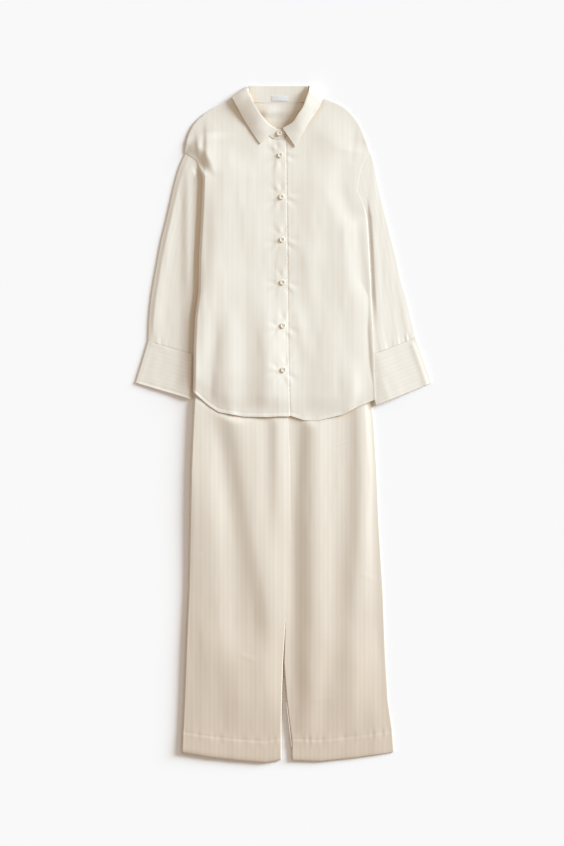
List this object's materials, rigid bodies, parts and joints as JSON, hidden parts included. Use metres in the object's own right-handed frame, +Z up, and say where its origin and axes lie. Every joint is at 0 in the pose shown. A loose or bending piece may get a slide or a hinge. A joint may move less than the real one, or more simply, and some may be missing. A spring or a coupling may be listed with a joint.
{
  "type": "pyjama set",
  "caption": "Striped satin pyjama set laid flat: long-sleeved button-front shirt with collar and deep cuffs, over wide-leg trousers.",
  "frame": {"origin": "centre of the set's outline, on the surface that it lies on", "axes": "+X to the wearer's left as the set lies face up, +Y from the trouser hems towards the collar, +Z up from the surface"},
  "size_m": [0.652, 1.4878, 0.0162],
  "materials": {
    "shirt_satin": "ivory satin with fine tonal stripes along the cloth",
    "trouser_satin": "ivory satin with fine tonal stripes along the leg",
    "label_tape": "smooth white woven tape, blank",
    "pearl_button": "pearly cream, polished"
  },
  "bodies": {
    "root": {"shirt_back": "shirt_satin", "shirt_front_right": "shirt_satin", "shirt_front_left": "shirt_satin", "placket": "shirt_satin", "sleeve_right": "shirt_satin", "sleeve_left": "shirt_satin", "cuff_right": "shirt_satin", "cuff_left": "shirt_satin", "collar_stand": "shirt_satin", "collar_fall": "shirt_satin", "neck_label": "label_tape", "button_1": "pearl_button", "button_2": "pearl_button", "button_3": "pearl_button", "button_4": "pearl_button", "button_5": "pearl_button", "button_6": "pearl_button", "button_7": "pearl_button", "trouser_front_right": "trouser_satin", "trouser_front_left": "trouser_satin", "trouser_back_right": "trouser_satin", "trouser_back_left": "trouser_satin", "waistband": "trouser_satin"}
  },
  "joints": []
}
